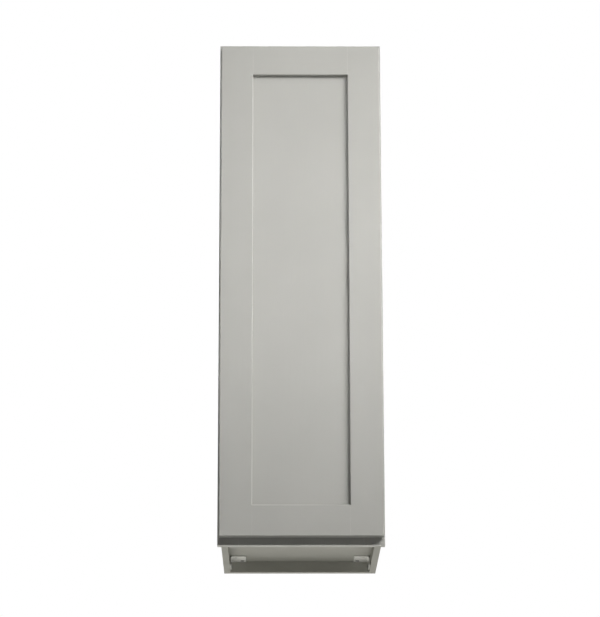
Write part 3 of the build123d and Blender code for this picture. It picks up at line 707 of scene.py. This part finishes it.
def floor_paint():
    """Matt pale paint that is lifted where it is seen directly, and clear from below."""
    material, shader, add, link = new_material("pale studio floor")
    cloud = stretched_noise(add, link, EVEN, 1.5, 3.0)
    tone = mixed(add, link, ranged(add, link, cloud, 0.0, 1.0), FLOOR_DULL, FLOOR_PALE)
    link(tone, shader.inputs["Base Color"])
    shader.inputs["Roughness"].default_value = 0.8
    glow = add("ShaderNodeEmission", in_Color=FLOOR_GLOW)
    ray = add("ShaderNodeLightPath")
    lift = add("ShaderNodeMath", operation="MULTIPLY")
    lift.inputs[1].default_value = FLOOR_LIFT
    link(ray.outputs["Is Camera Ray"], lift.inputs[0])
    link(lift.outputs["Value"], glow.inputs["Strength"])
    lifted = add("ShaderNodeAddShader")
    link(shader.outputs["BSDF"], lifted.inputs[0])
    link(glow.outputs["Emission"], lifted.inputs[1])
    clear = add("ShaderNodeBsdfTransparent")
    side = add("ShaderNodeNewGeometry")
    choose = add("ShaderNodeMixShader")
    link(side.outputs["Backfacing"], choose.inputs[0])
    link(lifted.outputs["Shader"], choose.inputs[1])
    link(clear.outputs["BSDF"], choose.inputs[2])
    link(choose.outputs["Shader"], material.node_tree.nodes["Material Output"].inputs["Surface"])
    return material


floor_mesh = bpy.data.meshes.new("studio_floor")
shape = bmesh.new()
bmesh.ops.create_circle(shape, cap_ends=True, segments=96, radius=FLOOR_RADIUS)
shape.to_mesh(floor_mesh)
shape.free()
floor = bpy.data.objects.new("studio_floor", floor_mesh)
floor.location = (0.0, 0.0, cad_low.z - FLOOR_DROP)
floor_mesh.materials.append(floor_paint())
bpy.context.scene.collection.objects.link(floor)

world = bpy.data.worlds.new("white surround")
world.use_nodes = True
bpy.context.scene.world = world
surround = world.node_tree.nodes
surround_links = world.node_tree.links
seen = surround["Background"]
seen.inputs["Color"].default_value = (1.0, 1.0, 1.0, 1.0)
seen.inputs["Strength"].default_value = 1.0
felt = surround.new("ShaderNodeBackground")
felt.inputs["Color"].default_value = (*PLAIN, 1.0)
felt.inputs["Strength"].default_value = SURROUND
ray = surround.new("ShaderNodeLightPath")
both = surround.new("ShaderNodeMixShader")
surround_links.new(ray.outputs["Is Camera Ray"], both.inputs[0])
surround_links.new(felt.outputs["Background"], both.inputs[1])
surround_links.new(seen.outputs["Background"], both.inputs[2])
surround_links.new(both.outputs["Shader"], surround["World Output"].inputs["Surface"])


def soft_lamp(name, place, target, width, height, watts, spread=180.0, colour=PLAIN):
    """A rectangular soft box at a place, turned to a target; a narrow spread keeps it to a small part."""
    data = bpy.data.lights.new(name, "AREA")
    data.shape = "RECTANGLE"
    data.size = width
    data.size_y = height
    data.energy = watts
    data.spread = math.radians(spread)
    data.color = colour
    lamp = bpy.data.objects.new(name, data)
    lamp.location = place
    lamp.rotation_mode = "QUATERNION"
    lamp.rotation_quaternion = (Vector(target) - Vector(place)).to_track_quat("-Z", "Y")
    lamp.visible_camera = False
    bpy.context.scene.collection.objects.link(lamp)


soft_lamp("key", (2.1, -2.5, 2.0), (0.0, -0.15, 0.5), 2.0, 1.3, 107.0)
soft_lamp("front", (-0.6, -2.8, 2.15), (0.0, -0.32, 0.5), 1.6, 1.0, 11.0)
soft_lamp("lift", (-0.7, -3.0, -0.5), (0.0, -0.32, 0.66), 0.6, 0.6, 0.25, spread=22.0)
soft_lamp("face", (1.0, -3.1, 1.6), (0.03, -0.32, 0.42), 0.9, 0.5, 0.78, spread=24.0)
soft_lamp("below_left", (-0.9, 0.8, -1.2), (0.0, -0.15, 0.0), 1.0, 1.0, 4.9, colour=WARM)
soft_lamp("behind", (0.5, 2.4, -0.85), (0.0, -0.15, 0.0), 3.0, 1.0, 11.0, colour=WARM)
soft_lamp("back_left", (-2.4, 2.2, 1.8), (0.0, 0.0, 0.45), 1.5, 1.5, 7.0, spread=50.0)
soft_lamp("back_right", (1.9, 2.8, 1.5), (0.0, 0.0, 0.45), 1.2, 1.2, 3.0, spread=50.0)
